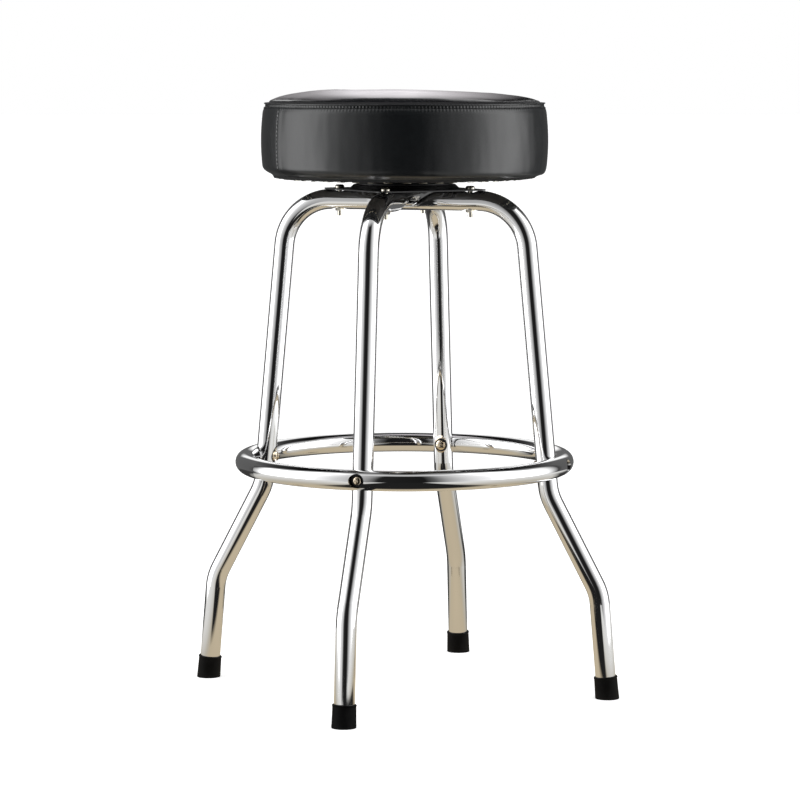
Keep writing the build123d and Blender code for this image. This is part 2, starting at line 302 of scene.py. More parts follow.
# %% [markdown]
# ## The turned seam
#
# Where the top panel meets the side band, both edges are turned in and sewn through. They stand
# up round the crown as a small ridge. Below the ridge is a groove, and each stitch pulls the vinyl
# of the groove in, so it is puckered with the pitch of the stitches. The rim is turned from one
# section, with four rings of points to a stitch, and the puckers are sculpted.

# %% Turn the seam rim
stitch_pitch = 4.45 * MM
stitch_count = round(2 * math.pi * rim_radius / stitch_pitch)
ridge_height = 1.5 * MM
ridge_round = 0.45 * MM
groove_depth = 1.7 * MM
pucker_draw = 0.4 * MM
ridge_bottom = seam_z - ridge_height
rim_outline = [
    (crown_radius + 0.6 * MM, rim_bottom - 0.4 * MM),
    (rim_radius - groove_depth - 0.4 * MM, rim_bottom - 0.4 * MM),
    (rim_radius - groove_depth, rim_bottom + 0.4 * MM),
    (rim_radius - groove_depth, (rim_bottom + ridge_bottom) / 2),
    (rim_radius - groove_depth, ridge_bottom - 0.4 * MM),
    (rim_radius - 0.3 * MM, ridge_bottom),
    (rim_radius, ridge_bottom + ridge_round),
    (rim_radius, seam_z - ridge_round),
    (rim_radius - 0.3 * ridge_round, seam_z - 0.3 * ridge_round),
    (rim_radius - ridge_round, seam_z),
    (crown_radius + 1.3 * MM, seam_z - 0.1 * MM),
    (crown_radius + 0.2 * MM, seam_z - 0.7 * MM),
    (crown_radius + 0.2 * MM, rim_bottom + 0.2 * MM),
    (crown_radius + 0.6 * MM, rim_bottom - 0.4 * MM),
]
seam_rim = turned("seat_seam", rim_outline, 4 * stitch_count)


def wander(angle, fineness, seed):
    """Slow unevenness round the seat, from -1 to 1."""
    return soft_noise(math.cos(angle) * fineness, math.sin(angle) * fineness, 0.5, seed=seed)


def draw_in_stitches(point):
    radius, angle = polar(point)
    outer = ease((radius - crown_radius - 2 * MM) / (2 * MM))
    in_groove = ease((ridge_bottom + 0.3 * MM - point.z) / (1 * MM))
    wave = math.cos(angle * stitch_count)
    uneven = 1 + 0.5 * wander(angle, 22, 3.3)
    radius += outer * (0.25 * MM * wander(angle, 14, 1.7) + 0.1 * MM * wave * (1 - in_groove))
    radius -= outer * in_groove * pucker_draw * uneven * wave
    return at_polar(radius, angle, point.z + outer * 0.2 * MM * wander(angle, 11, 6.1))


move_points(seam_rim, draw_in_stitches)
outward(seam_rim)
smooth(seam_rim, 60)

# %% [markdown]
# ## The side band
#
# The band is one strip of vinyl round the foam. It swells a little at its middle and rolls in at
# the bottom. Its hem is pulled under the board, where its spare length gathers in pleats and is
# stapled. Its two ends meet in an upright seam. The outline is a barrel, a roll and a flat hem.
# The pleats, the seam and a corner that is squarer on the right side are sculpted later.

# %% Turn the side band
# The roll, as insets from the seat's radius and lifts from its bottom, in millimetres
roll_shape = (
    (1.4, 16.2), (2.0, 13.6), (3.0, 11.3), (4.5, 9.4), (6.4, 7.9), (8.6, 6.7), (10.8, 5.7),
    (12.8, 4.7), (14.4, 3.6), (15.9, 2.4), (17.6, 1.3), (19.6, 0.6), (22.0, 0.1))
barrel_steps = 40
hem_steps = 12
band_thickness = 0.8 * MM
hem_radius = board_radius - 24 * MM
widest_z = seat_bottom + 0.55 * (seam_z - seat_bottom)


def arc_through(start, middle, end, count):
    """Points along the circle through three points."""
    (ax, ay), (bx, by), (cx, cy) = start, middle, end
    a, b, c = ax**2 + ay**2, bx**2 + by**2, cx**2 + cy**2
    d = 2 * (ax * (by - cy) + bx * (cy - ay) + cx * (ay - by))
    ux = (a * (by - cy) + b * (cy - ay) + c * (ay - by)) / d
    uy = (a * (cx - bx) + b * (ax - cx) + c * (bx - ax)) / d
    first = math.atan2(ay - uy, ax - ux)
    last = math.atan2(cy - uy, cx - ux)
    size = math.hypot(ax - ux, ay - uy)
    return [(ux + size * math.cos(first + (last - first) * i / count),
             uy + size * math.sin(first + (last - first) * i / count)) for i in range(count + 1)]


roll = [(seat_radius - inset * MM, seat_bottom + lift * MM) for inset, lift in roll_shape]
roll = rounded_outline(roll, 1.4 * MM)
roll_top = roll[0]
barrel = arc_through((rim_radius, seam_z), (seat_radius, widest_z), roll_top, barrel_steps)
barrel = [(radius, height) for radius, height in barrel if height < rim_bottom]
hem_start = roll[-1][0] - 2 * MM
hem = [(hem_start - (hem_start - hem_radius) * i / hem_steps, seat_bottom)
       for i in range(hem_steps + 1)]
tuck = [(rim_radius - groove_depth - 0.8 * MM, rim_bottom + 1.2 * MM),
        (rim_radius - groove_depth - 0.1 * MM, rim_bottom + 0.7 * MM),
        (rim_radius - 0.5 * MM, rim_bottom + 0.2 * MM)]
side_band = turned("seat_side_vinyl", [*tuck, *barrel[:-1], *roll, *hem], 4 * stitch_count)
print("side band:", len(side_band.data.vertices), "points")

# %% Sculpt its pleats, seam and soft unevenness
band_seam_angle = math.radians(225.3)
pleat_count = 46
pleat_depth = 1.2 * MM
crumple_depth = 0.8 * MM
seam_step = 0.45 * MM
unevenness = 0.45 * MM
top_draw = 1.0 * MM


def seam_relief(across):
    """Height of the upright seam: a groove, then the lapped edge that falls away again."""
    lap = ease((across + 1.4 * MM) / (2.6 * MM)) * ease((12 * MM - across) / (10 * MM))
    groove = math.exp(-((across + 0.9 * MM) / (1.1 * MM)) ** 2)
    return seam_step * lap - 0.35 * MM * groove


def under_relief(radius, angle):
    """Height of the pleats and crumples on the turned-under hem."""
    drift = 4 * wander(angle, 2.3, 5.0)
    wave = math.sin(angle * pleat_count + drift + radius * 90)
    size = max(0, 0.45 + 0.9 * wander(angle, 5, 9.0))
    crumple = soft_noise(math.cos(angle) * 12, math.sin(angle) * 12, radius * 80, seed=2.6)
    return pleat_depth * size * (abs(wave) - 0.6) + crumple_depth * crumple


def squareness(point):
    """Share of its height that the lower corner loses. The seat is fuller on its right side."""
    return 0.13 + 0.27 * in_view(point).x / seat_radius


def pleat(point):
    radius, angle = polar(point)
    inside = ease((seat_radius - 12 * MM - radius) / (6 * MM))
    under = inside * ease((seat_bottom + 9 * MM - point.z) / (3 * MM))
    side = 1 - under
    swell = soft_noise(math.cos(angle) * 3.5, math.sin(angle) * 3.5, point.z * 14, seed=2.0)
    ripple = soft_noise(math.cos(angle) * 17, math.sin(angle) * 17, point.z * 26, seed=4.0)
    across = ((angle - band_seam_angle + math.pi) % (2 * math.pi) - math.pi) * radius
    near_top = ease((point.z - rim_bottom + 7 * MM) / (7 * MM))
    at_top = ease((point.z - rim_bottom + 3.5 * MM) / (2.5 * MM))
    wave = math.cos(angle * stitch_count)
    height = point.z + under * under_relief(radius, angle)
    at_corner = ease((seat_bottom + 16 * MM - point.z) / (9 * MM))
    height -= (point.z - seat_bottom) * at_corner * squareness(point)
    uneven = unevenness * (0.75 * swell + 0.35 * ripple) * (1 - near_top)
    radius += side * (uneven + seam_relief(across))
    radius -= top_draw * near_top + pucker_draw * at_top * wave
    if radius < board_radius:
        height = min(height, board_z - 0.3 * MM)
    return at_polar(radius, angle, height)


move_points(side_band, pleat)
outward(side_band)
finish_with(side_band, "SOLIDIFY", thickness=band_thickness, offset=-1)
smooth(side_band, 60)

# %% [markdown]
# ## The foam
#
# The foam drum fills the covering and laps over the board's edge. It hardly shows, but it is a
# piece of its own, so it is turned as a closed form just inside the vinyl.

# %% Turn the foam
foam_gap = 3.0 * MM
foam_low = board_high.z + 0.4 * MM
foam_lap = board_radius + 0.6 * MM
foam_side = [(radius - foam_gap, height) for radius, height in barrel[2:-1]]
foam_crown = [(radius - foam_gap, height - foam_gap) for radius, height in crown_outline[:-1]]
foam_outline = [
    (20 * MM, foam_low), (foam_lap, foam_low), (foam_lap, board_z + 7.5 * MM),
    (roll_top[0] - 10 * MM, board_z + 8 * MM), (roll_top[0] - 6 * MM, board_z + 11 * MM),
    *foam_side[::-1], (crown_radius - foam_gap, rim_bottom - 0.5 * MM), *foam_crown]
foam = turned("seat_foam_core", foam_outline, 160)
close_hole(foam)
activate(foam)
bpy.ops.object.mode_set(mode="EDIT")
bpy.ops.mesh.select_all(action="DESELECT")
bpy.ops.mesh.select_non_manifold()
bpy.ops.mesh.edge_face_add()
bpy.ops.object.mode_set(mode="OBJECT")


def settle(point):
    if point.z > rim_bottom:
        point.z -= sag_at(point)
    return point


move_points(foam, settle)
outward(foam)
smooth(foam, 50)

# %% [markdown]
# ## Thread
#
# One stitch is a short length of thread that dips into the vinyl at both ends. It is modelled
# once as a stretched ball, and then copied along the seams: a row round the rim and a row down
# the band's upright seam, each stitch laid on the surface that the seam was sculpted into.

# %% Model one stitch and copy it along the seams
thread_radius = 0.45 * MM


def one_stitch(name, length):
    deselect()
    bpy.ops.mesh.primitive_uv_sphere_add(segments=8, ring_count=6, radius=thread_radius)
    stitch = bpy.context.object
    stitch.name = stitch.data.name = name
    bpy.ops.object.mode_set(mode="EDIT")
    bpy.ops.mesh.select_all(action="SELECT")
    bpy.ops.transform.resize(value=(1, 1, length / (2 * thread_radius)))
    bpy.ops.object.mode_set(mode="OBJECT")
    return stitch


def row_of(name, piece, places):
    """Joins one copy of a piece for each place into one object."""
    copies = []
    for place in places:
        copy = piece.copy()
        copy.data = piece.data.copy()
        bpy.context.scene.collection.objects.link(copy)
        copy.data.transform(place)
        copies.append(copy)
    bpy.data.objects.remove(piece)
    deselect()
    for copy in copies:
        copy.select_set(True)
    bpy.context.view_layer.objects.active = copies[0]
    bpy.ops.object.join()
    joined = bpy.context.object
    joined.name = joined.data.name = name
    activate(joined)
    bpy.ops.object.shade_smooth()
    return joined


def facing_out(angle, radius, height, lean=0.0):
    """A place on the seat's side: local Z up, leaning along the seam, and local X out."""
    return (Matrix.Rotation(angle, 4, "Z") @ Matrix.Translation((radius, 0, height))
            @ Matrix.Rotation(math.radians(lean), 4, "X"))


rim_stitches = row_of(
    "seam_thread", one_stitch("stitch", 3.2 * MM),
    [facing_out(2 * math.pi * i / stitch_count, rim_radius - 1.25 * MM, rim_bottom - 0.9 * MM, 22)
     for i in range(stitch_count)])


def band_radius_at(height):
    """Radius of the side band's outline at a height, read between its points."""
    for (outer, top), (inner, low) in zip(barrel, barrel[1:]):
        if low <= height <= top:
            return inner + (outer - inner) * (height - low) / (top - low)
    return barrel[-1][0]


upright_pitch = 4.9 * MM
upright_count = int((rim_bottom - 4 * MM - roll_top[1]) / upright_pitch) + 1
upright_places = []
for i in range(upright_count):
    height = rim_bottom - 5 * MM - i * upright_pitch
    angle = band_seam_angle - 0.9 * MM / seat_radius
    radius, angle = polar(pleat(at_polar(band_radius_at(height), angle, height)))
    upright_places.append(facing_out(angle, radius + 0.3 * MM, height, 4))
upright_stitches = row_of("band_thread_painted_light", one_stitch("stitch", 3.0 * MM), upright_places)
print("stitches:", stitch_count, "round the rim,", len(upright_places), "on the band")

# %% [markdown]
# ## Staples
#
# The band's hem is stapled to the underside of the board. A staple shows only its crown, a
# flattened wire bent down at both ends. It is a small cube, scaled flat and bevelled.

# %% Model one staple and copy it round the hem
staple_width = 10 * MM
staple_wire = 1.2 * MM
staple_count = 44
hem_middle = hem_radius + 7 * MM


def one_staple():
    deselect()
    bpy.ops.mesh.primitive_cube_add(size=1)
    staple = bpy.context.object
    staple.name = staple.data.name = "staple"
    bpy.ops.object.mode_set(mode="EDIT")
    bpy.ops.mesh.select_all(action="SELECT")
    bpy.ops.transform.resize(value=(staple_wire, staple_width, 0.6 * MM))
    bpy.ops.object.mode_set(mode="OBJECT")
    finish_with(staple, "BEVEL", width=0.2 * MM, segments=2)
    return staple


def hem_places():
    for i in range(staple_count):
        wander = soft_noise(i * 0.91, 0.3, 0.7, seed=6.0)
        angle = 2 * math.pi * (i + 0.35 * wander) / staple_count
        yield (Matrix.Rotation(angle, 4, "Z")
               @ Matrix.Translation((hem_middle + 2 * MM * wander, 0, seat_bottom - 1.1 * MM))
               @ Matrix.Rotation(0.5 * wander, 4, "Z"))


staples = row_of("seat_staples", one_staple(), list(hem_places()))

# %% [markdown]
# ## Materials as sums
#
# A shader is a small calculation done at every point of a surface. Writing it as Python sums
# keeps it readable: a `Value` stands for a socket, and adding or multiplying two of them adds the
# Math node that does it. `Finish` starts a material and has one method for every other node.

# %% A socket that works in sums, and a material under construction


def grey(value):
    return (value, value, value)


class Value:
    """A socket of a shader tree. Sums of values add Math nodes."""

    def __init__(self, finish, shader_node, output=0):
        self.finish = finish
        self.shader_node = shader_node
        self.socket = shader_node.outputs[output]

    def out(self, output):
        return Value(self.finish, self.shader_node, output)

    def maths(self, operation, *others):
        return self.finish.node("ShaderNodeMath", {"operation": operation}, dict(enumerate(others)))

    def __add__(self, other):
        return self.maths("ADD", self, other)

    def __sub__(self, other):
        return self.maths("SUBTRACT", self, other)

    def __rsub__(self, other):
        return self.maths("SUBTRACT", other, self)

    def __mul__(self, other):
        return self.maths("MULTIPLY", self, other)

    def __truediv__(self, other):
        return self.maths("DIVIDE", self, other)

    def __pow__(self, other):
        return self.maths("POWER", self, other)

    def size(self):
        return self.maths("ABSOLUTE", self)

    def larger(self, other):
        return self.maths("MAXIMUM", self, other)

    def smaller(self, other):
        return self.maths("MINIMUM", self, other)

    def clamped(self):
        return self.larger(0.0).smaller(1.0)

    def past(self, start, fade):
        """0 up to the start, and 1 from one fade further on."""
        return ((self - start) / fade).clamped()

    def short_of(self, end, fade):
        """0 from the end on, and 1 up to one fade before it."""
        return ((end - self) / fade).clamped()


class Shading:
    """A node tree under construction."""

    def __init__(self, tree):
        self.tree = tree

    def feed(self, socket, value):
        if isinstance(value, Value):
            self.tree.links.new(value.socket, socket)
        else:
            socket.default_value = value

    def node(self, kind, settings=None, inputs=None):
        """Adds any node: its settings come first, then its sockets' values or links."""
        added = self.tree.nodes.new(kind)
        for key, value in (settings or {}).items():
            if key == "stops":
                ramp = added.color_ramp
                for index, (position, color) in enumerate(value):
                    stop = ramp.elements[index] if index < 2 else ramp.elements.new(position)
                    stop.position = position
                    stop.color = (*color, 1)
            else:
                setattr(added, key, value)
        for key, value in (inputs or {}).items():
            self.feed(added.inputs[key], value)
        return Value(self, added)

    def tint(self, share, first, second):
        """First colour where share is 0, second where it is 1."""
        def solid(color):
            return color if isinstance(color, Value) else (*color, 1)
        mix = self.node("ShaderNodeMix", {"data_type": "RGBA"}, {
            0: share, 6: solid(first), 7: solid(second)})
        return mix.out(2)

    def ramp(self, share, stops):
        """A colour for each share, read between these stops."""
        return self.node("ShaderNodeValToRGB", {"stops": stops}, {"Fac": share})

    def split(self, vector):
        """The X, Y and Z of a vector."""
        parts = self.node("ShaderNodeSeparateXYZ", None, {"Vector": vector})
        return parts.out("X"), parts.out("Y"), parts.out("Z")

    def in_studio(self, vector):
        """A vector's parts along the studio's axes, which are turned by view_turn about Z."""
        return self.split(self.node("ShaderNodeVectorRotate", {"rotation_type": "Z_AXIS"}, {
            "Vector": vector, "Angle": -view_turn}))

    def ray_is(self, *kinds):
        """1 for rays of any of these kinds, else 0."""
        path = self.node("ShaderNodeLightPath")
        first, *others = [path.out(f"Is {kind} Ray") for kind in kinds]
        for other in others:
            first = first.larger(other)
        return first


class Finish(Shading):
    """A material under construction, on the Principled shader."""

    def __init__(self, name, color, roughness, **sockets):
        self.material = bpy.data.materials.new(name)
        self.material.use_nodes = True
        super().__init__(self.material.node_tree)
        self.shader = self.tree.nodes["Principled BSDF"]
        self.set("Base Color", (*color, 1))
        self.set("Roughness", roughness)
        for socket, value in sockets.items():
            self.set(socket.replace("_", " ").title(), value)
        self.place = self.node("ShaderNodeTexCoord").out("Object")

    def set(self, socket, value):
        self.feed(self.shader.inputs[socket], value)

    def stretched(self, x, y, z):
        """The object's coordinates, scaled along each axis."""
        return self.node("ShaderNodeMapping", None, {"Vector": self.place, "Scale": (x, y, z)})

    def cloud(self, scale, detail=3.0, roughness=0.55, place=None):
        """Soft noise from 0 to 1, with this many features to a metre."""
        return self.node("ShaderNodeTexNoise", None, {
            "Vector": place or self.place, "Scale": scale, "Detail": detail,
            "Roughness": roughness})

    def cells(self, scale, place=None):
        """Distance from the middle of the nearest cell, from 0 to 1."""
        return self.node("ShaderNodeTexVoronoi", None, {
            "Vector": place or self.place, "Scale": scale}).out("Distance")

    def raised(self, height, depth, strength=1.0):
        """Bump of this depth in metres."""
        return self.node("ShaderNodeBump", None, {
            "Height": height, "Distance": depth, "Strength": strength})

    def height_axis(self):
        return self.split(self.place)[2]


# %% [markdown]
# ## Chrome
#
# Chrome plate is a mirror with almost no colour of its own. What makes it real is what it
# reflects, and small faults: the drawn tube is slightly wavy under the plate, and hands leave
# faint smears that are a little rougher. Plating also dulls close to the floor. The seats pressed
# in for the foot ring's screws and nuts are painted black: painted shade for the dark that their
# steep walls reflect.

# %% Chrome for the tubes
screw_height = 291.4 * MM
pressed_radius = 9.0 * MM
# Where the painted shade of the pressed screw seats starts and ends along each screw's line
recess_shade_outside = 205.3 * MM
recess_shade_inside = 175.6 * MM
recess_shade_fade = 0.5 * MM
plate_white = (0.9, 0.9, 0.905)
plate_dull = (0.72, 0.71, 0.7)
# Near black for the painted shade in the pressed screw seats
recess_shade_black = (0.03, 0.03, 0.033)


def by_ring_screw(finish):
    """The squared distance from the line of the nearest foot-ring screw, and the place along it."""
    x, y, z = finish.split(finish.place)
    x, y, above = x.size(), y.size(), z - screw_height
    return x.smaller(y) * x.smaller(y) + above * above, x.larger(y)


def chrome():
    finish = Finish("chrome", plate_white, 0.04, metallic=1.0)
    waves = finish.cloud(38, 1.0)
    smears = finish.cloud(17, 4.0, 0.6) ** 3.0
    cells = finish.cells(900)
    specks = cells.maths("LESS_THAN", cells, 0.12)
    near_floor = finish.height_axis().short_of(0.16, 0.25)
    dull = smears * 0.14 + near_floor * 0.05 + specks * 0.05
    # Painted shade: round the foot-ring screws and nuts, the pressed seats are painted near black
    # and made rougher.
    off_line, along = by_ring_screw(finish)
    at_seat = along.past(recess_shade_outside, recess_shade_fade) + along.short_of(recess_shade_inside, recess_shade_fade)
    recess_shade = ((1 - off_line / pressed_radius ** 2) * 5.0).clamped() * at_seat
    plate = finish.tint(dull.clamped(), plate_white, plate_dull)
    finish.set("Roughness", dull + recess_shade * 0.3 + 0.02)
    finish.set("Base Color", finish.tint(recess_shade, plate, recess_shade_black))
    finish.set("Normal", finish.raised(waves, 0.05 * MM, 0.35))
    return finish.material


# %% [markdown]
# ## Vinyl
#
# Upholstery vinyl is a printed skin: fine leather grain in a glossy or satin top coat. The top
# panel is the glossy one. The band is satin and its grain is finer, so its highlights are broad
# and soft. Grain is a net of cells with a little noise, pressed in a few hundredths of a
# millimetre. Each sheet is dull at its lower edge, where it is creased and handled: the top panel
# at its sewn edge and the band round the hem.

# %% Vinyl for the top and the band
grain_cells = 900
grain_shift = 1.2 * MM
dull_fade = MM / 0.7
dull_roughness = 0.45
dull_coat = 0.99


def vinyl(name, color, roughness, grain_depth, coat, coat_roughness, dull_below):
    finish = Finish(name, color, roughness, coat_roughness=coat_roughness)
    shifted = finish.node("ShaderNodeVectorMath", {"operation": "MULTIPLY_ADD"}, {
        0: finish.cloud(180, 2.0).out("Color"), 1: (grain_shift,) * 3, 2: finish.place})
    grain = finish.cells(grain_cells, place=shifted)
    fine = finish.cloud(2600, 2.0)
    wear = finish.cloud(21, 5.0, 0.62)
    height = grain * 0.7 + fine * 0.3
    dull = finish.height_axis().short_of(dull_below, dull_fade)
    finish.set("Roughness", (wear - 0.5) * 0.16 + roughness + (1 - grain) * 0.03
               + dull * dull_roughness)
    finish.set("Base Color", finish.tint(wear, color, tuple(c * 1.6 + 0.002 for c in color)))
    finish.set("Coat Weight", (1 - dull * dull_coat) * coat)
    finish.set("Normal", finish.raised(height, grain_depth, 0.5))
    return finish.material


# %% [markdown]
# ## Rubber, paint and plated steel
#
# The caps are moulded rubber, almost black and chalky. The swivel plates are powder coated: a
# satin black with a faint orange peel. Bolts, screws and nuts are zinc plated, which is a warmer
# and rougher mirror than chrome.

# %% Rubber, powder coat, zinc and ground steel
cap_dust_height = MM / 0.09
screw_head_radius = 5.8 * MM
screw_head_dome = 1.7 * MM


def rubber():
    finish = Finish("cap_rubber", (0.013, 0.013, 0.014), 0.62)
    finish.set("Specular IOR Level", 0.1)
    dust = finish.cloud(90, 6.0, 0.7)
    low = finish.height_axis().short_of(cap_dust_height, cap_dust_height)
    scuff = (dust ** 4.0) * 0.6 + low * dust * 0.15
    finish.set("Base Color", finish.tint(
        scuff.clamped(), (0.0015, 0.0015, 0.0017), (0.04, 0.038, 0.035)))
    finish.set("Roughness", dust * 0.3 + 0.5)
    finish.set("Normal", finish.raised(finish.cloud(1500, 3.0), 0.06 * MM, 0.5))
    return finish.material


def powder_coat():
    finish = Finish("powder_coat", (0.012, 0.012, 0.013), 0.32)
    peel = finish.cloud(750, 1.0)
    finish.set("Roughness", finish.cloud(60, 4.0) * 0.2 + 0.24)
    finish.set("Base Color", finish.tint(
        finish.cloud(35, 5.0), (0.01, 0.01, 0.011), (0.022, 0.022, 0.023)))
    finish.set("Normal", finish.raised(peel, 0.06 * MM, 0.4))
    return finish.material


def plated(name, color, roughness, metallic=1.0):
    finish = Finish(name, color, roughness, metallic=metallic)
    blotches = finish.cloud(420, 4.0, 0.6)
    finish.set("Roughness", blotches * 0.16 + (roughness - 0.08))
    finish.set("Base Color", finish.tint(blotches, tuple(c * 0.8 for c in color), color))
    finish.set("Normal", finish.raised(finish.cloud(2400, 2.0), 0.02 * MM, 0.4))
    return finish.material


def screw_heads():
    """Brass-tinged screws and nuts that point at the axis. Their faces are low domes."""
    finish = Finish("screw_plate", (0.86, 0.76, 0.6), 0.1, metallic=1.0)
    off_centre = by_ring_screw(finish)[0] / screw_head_radius ** 2
    blotches = finish.cloud(420, 3.0)
    finish.set("Base Color", finish.tint(blotches, (0.62, 0.5, 0.36), (0.9, 0.8, 0.64)))
    finish.set("Roughness", blotches * 0.1 + 0.05)
    finish.set("Normal", finish.raised(1 - off_centre, screw_head_dome))
    return finish.material


# %% [markdown]
# ## Plywood, foam, thread and plastic
#
# From below, the board shows inside the hem. It is plywood stained black: one veneer with long
# grain and open pores. The foam is a cream sponge. The thread is a nylon twist, black at the rim.
# At the band's upright seam the same black thread is painted grey: a painted highlight for the
# light that the stitches catch there. The ball cage is plain grey plastic.

# %% Plywood, foam, thread and cage plastic


def plywood():
    finish = Finish("stained_plywood", (0.02, 0.019, 0.018), 0.6)
    long_grain = finish.stretched(6.0, 60.0, 30.0)
    figure = finish.cloud(5.0, 6.0, 0.6, place=long_grain)
    pores = finish.cloud(55.0, 3.0, 0.7, place=finish.stretched(4.0, 60.0, 60.0))
    finish.set("Base Color", finish.ramp(figure * 0.75 + pores * 0.25, (
        (0.25, (0.008, 0.007, 0.006)), (0.5, (0.018, 0.016, 0.014)), (0.75, (0.035, 0.03, 0.026)))))
    finish.set("Roughness", pores * 0.25 + 0.5)
    finish.set("Normal", finish.raised(pores * 0.5 + figure * 0.5, 0.15 * MM, 0.6))
    return finish.material


def sponge():
    finish = Finish("foam", (0.72, 0.64, 0.45), 0.9)
    pores = finish.cells(1400)
    finish.set("Base Color", finish.tint(pores, (0.5, 0.42, 0.27), (0.78, 0.7, 0.52)))
    finish.set("Normal", finish.raised(pores, 0.4 * MM, 0.8))
    return finish.material


def thread(name, dark, light):
    finish = Finish(name, grey(0.05), 0.35)
    twist = finish.cloud(2500, 2.0, place=finish.stretched(1.0, 1.0, 2.5))
    finish.set("Base Color", finish.tint(twist, grey(dark), grey(light)))
    finish.set("Roughness", twist * 0.2 + 0.25)
    finish.set("Normal", finish.raised(twist, 0.12 * MM, 0.7))
    return finish.material


def cage_plastic():
    finish = Finish("cage_plastic", (0.05, 0.05, 0.052), 0.45)
    finish.set("Roughness", finish.cloud(300, 3.0) * 0.2 + 0.35)
    finish.set("Normal", finish.raised(finish.cloud(1200, 2.0), 0.03 * MM, 0.4))
    return finish.material


# %% Give each piece its material
finishes = {
    "chrome": chrome(),
    "cap_rubber": rubber(),
    "black_steel": powder_coat(),
    "zinc": plated("zinc", (0.8, 0.76, 0.66), 0.16),
    "screw_plate": screw_heads(),
    "cage_plastic": cage_plastic(),
    "ball_steel": plated("ground_steel", (0.66, 0.66, 0.67), 0.22),
    "plywood": plywood(),
    "foam": sponge(),
    "vinyl_top": vinyl("glossy_vinyl", (0.006, 0.006, 0.007), roughness=0.15, grain_depth=0.02 * MM,
                       coat=0.6, coat_roughness=0.1, dull_below=seam_z + 3.6 * MM),
    "vinyl_side": vinyl("satin_vinyl", (0.004, 0.005, 0.006), roughness=0.3, grain_depth=0.03 * MM,
                        coat=0.15, coat_roughness=0.14, dull_below=seat_bottom + 4.6 * MM),
    "rim_thread": thread("rim_thread", dark=0.02, light=0.07),
    # Painted highlight: the band's thread is the rim's black thread, painted grey for the light it
    # catches at the upright seam.
    "band_thread_painted_light": thread("band_thread_painted_light", dark=0.25, light=0.6),
}


def coat_with(piece, material):
    piece.data.materials.clear()
    piece.data.materials.append(material)


slots = {part["node"]: part["material_slot"] for part in frame["record"]["subparts"]}
for name, node in nodes.items():
    look = "screw_plate" if name in ("ring_bolts", "ring_nuts") else slots[name]
    coat_with(node, finishes[look])

made = {
    top_panel: ("vinyl_top", "seat_top_panel"),
    seam_rim: ("vinyl_side", "seat_seam_rim"),
    side_band: ("vinyl_side", "seat_side_band"),
    foam: ("foam", "seat_foam"),
}
for piece, (slot, node_name) in made.items():
    coat_with(piece, finishes[slot])
    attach(piece, "seat")
    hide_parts(node_name)
small_pieces = ((rim_stitches, "rim_thread", "vinyl_side"),
                (upright_stitches, "band_thread_painted_light", "vinyl_side"), (staples, "zinc", "zinc"))
for piece, look, slot in small_pieces:
    coat_with(piece, finishes[look])
    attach(piece, "seat")

# %% [markdown]
# ## Floor, light and camera
#
# Chrome shows its surroundings, so the studio is part of the look. The stool stands in a tent of
# white cloth. It is brightest at both sides, where the lamps stand behind it, and it is open
# towards the camera: that slit draws the dark line down the middle of each tube. Narrow black
# flags behind the lamps draw the thin lines at the tubes' edges, and the ceiling is dark, so the
# top of each bend is black, apart from a dim panel overhead. Low behind the stool stands a white
# wall. All of this is a pattern of directions in the world. The camera itself sees plain white.

# %% The tent, as a pattern of directions
brightest = 3.2
wall_half_width = 0.3
wall_fade = 0.08

# Brightness by degrees to the right of the camera
tent_by_turn = (
    (-180, 0.13), (-130, 0.11), (-124, 0.05), (-117, 1.0), (-108, 2.4), (-90, 3.1), (-72, 3.0),
    (-62, 1.1), (-48, 0.7), (-36, 0.5), (-25, 0.3), (-18, 0.015), (14, 0.01), (21, 0.12),
    (30, 0.4), (45, 0.75), (60, 1.05), (72, 2.9), (98, 3.2), (108, 1.6), (117, 0.9), (123, 0.4),
    (128, 0.05), (134, 0.11), (180, 0.13))
# Shares and brightness by degrees above the horizon
ceiling_in_front = ((0, 1.0), (50, 1.0), (64, 0.4), (74, 0.0), (90, 0.0))
ceiling_behind = ((0, 1.0), (26, 1.0), (38, 0.3), (50, 0.03), (90, 0.0))
panel_overhead = ((0, 0.0), (54, 0.0), (64, 0.55), (78, 0.55), (86, 0.015), (90, 0.015))
wall_behind = ((0, 0.0), (8, 0.0), (13, 0.95), (26, 0.95), (38, 0.0), (90, 0.0))


def tent():
    world = bpy.data.worlds.new("studio")
    bpy.context.scene.world = world
    world.use_nodes = True
    sky = Shading(world.node_tree)
    ray = sky.node("ShaderNodeTexCoord").out("Generated")
    right, away, up = sky.in_studio(ray)
    turn = right.maths("ARCTAN2", right, away * -1.0) / (2 * math.pi) + 0.5
    rise = (up.maths("ARCSINE", up) / (math.pi / 2)).clamped()
    around = sky.ramp(turn, [(degrees / 360 + 0.5, grey(value / brightest))
                             for degrees, value in tent_by_turn])

    def by_height(stops):
        return sky.ramp(rise, [(degrees / 90, grey(value)) for degrees, value in stops])

    is_behind = away.past(-0.25, 0.5)
    from_front = around * brightest * by_height(ceiling_in_front) + by_height(panel_overhead)
    wall = by_height(wall_behind) * right.size().short_of(wall_half_width, wall_fade)
    from_behind = around * brightest * by_height(ceiling_behind) + wall
    light = sky.tint(is_behind, from_front, from_behind)
    seen = sky.ray_is("Camera")
    shader = world.node_tree.nodes["Background"]
    sky.feed(shader.inputs["Color"], sky.tint(seen, light, grey(1.0)))


tent()

# %% [markdown]
# The floor is white paper to the camera. In mirrors it glows instead, a painted reflection: near
# the stool a warm colour like a wooden floor, further out the paper, with painted shade in a dark
# lane from the stool to the camera and in another dark patch behind it. Glossy rays pass through
# the rest of the floor to the tent.

# %% Floor
floor_lift = 0.62
floor_size = 40
paper_radius = 1.45
paper_fade = 0.25
lane_half_width = 0.33
